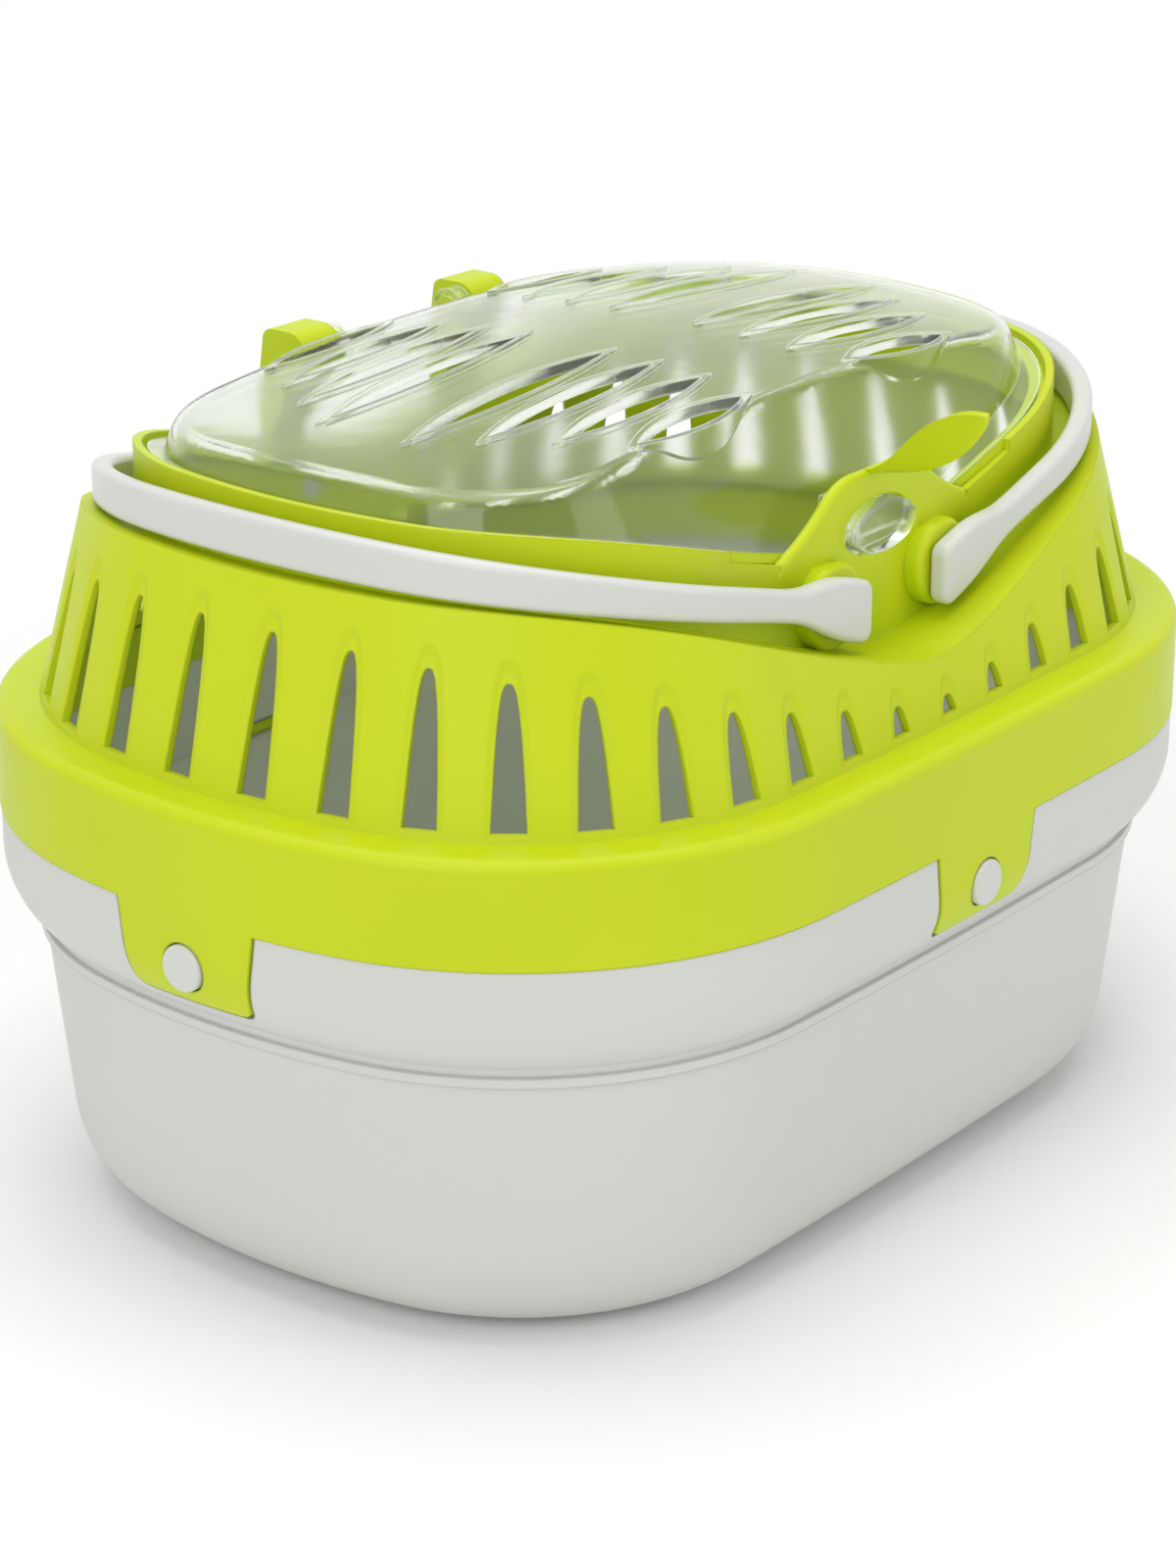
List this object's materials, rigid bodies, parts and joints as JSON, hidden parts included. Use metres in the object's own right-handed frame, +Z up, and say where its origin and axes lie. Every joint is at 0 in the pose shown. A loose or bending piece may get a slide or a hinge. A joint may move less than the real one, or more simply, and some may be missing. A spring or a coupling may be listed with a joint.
{
  "type": "small animal carrier",
  "caption": "Rounded plastic carrier for a small pet: grey tub, clipped-on lime vented top, clear slotted hinged lid with a thumb latch, and folding bail handles.",
  "frame": {"origin": "centre of the footprint on the floor, under the tub", "axes": "+X along the long side, +Y from the latch to the lid's hinge, +Z up"},
  "size_m": [0.3018, 0.2238, 0.2008],
  "materials": {
    "tub_grey": "satin moulded, light grey",
    "lime_green": "semi-gloss moulded, lime green",
    "clear_lid": "clear polished",
    "handle_white": "semi-gloss, light grey-white",
    "stud_white": "semi-gloss, off-white",
    "pin_green": "semi-gloss, lime green"
  },
  "bodies": {
    "carrier": {"tub": "tub_grey", "top_shell": "lime_green", "stud_front": "stud_white", "stud_right": "stud_white", "stud_rear": "stud_white", "stud_left": "stud_white", "hinge_pin_left": "pin_green", "hinge_pin_right": "pin_green"},
    "lid": {"lid": "clear_lid"},
    "handle_left": {"handle_left": "handle_white"},
    "handle_right": {"handle_right": "handle_white"},
    "latch": {"latch_tongue": "lime_green"}
  },
  "joints": [
    {"name": "lid_hinge", "type": "hinge", "parent": "carrier", "child": "lid", "pos_m": [0, 0.066, 0.1909], "axis": [-1, 0, 0], "range_deg": [0, 105], "deforming": ["latch_tongue"]},
    {"name": "handle_left_swing", "type": "hinge", "parent": "carrier", "child": "handle_left", "pos_m": [-0.0215, 0, 0.1531], "axis": [0, 1, 0], "range_deg": [0, 14]},
    {"name": "handle_right_swing", "type": "hinge", "parent": "carrier", "child": "handle_right", "pos_m": [0.0215, 0, 0.1531], "axis": [0, -1, 0], "range_deg": [0, 14]},
    {"name": "latch_flex", "type": "hinge", "parent": "carrier", "child": "latch", "pos_m": [0, -0.0785, 0.1566], "axis": [1, 0, 0], "range_deg": [0, 12], "stiffness_Nm_per_rad": 1.5}
  ]
}
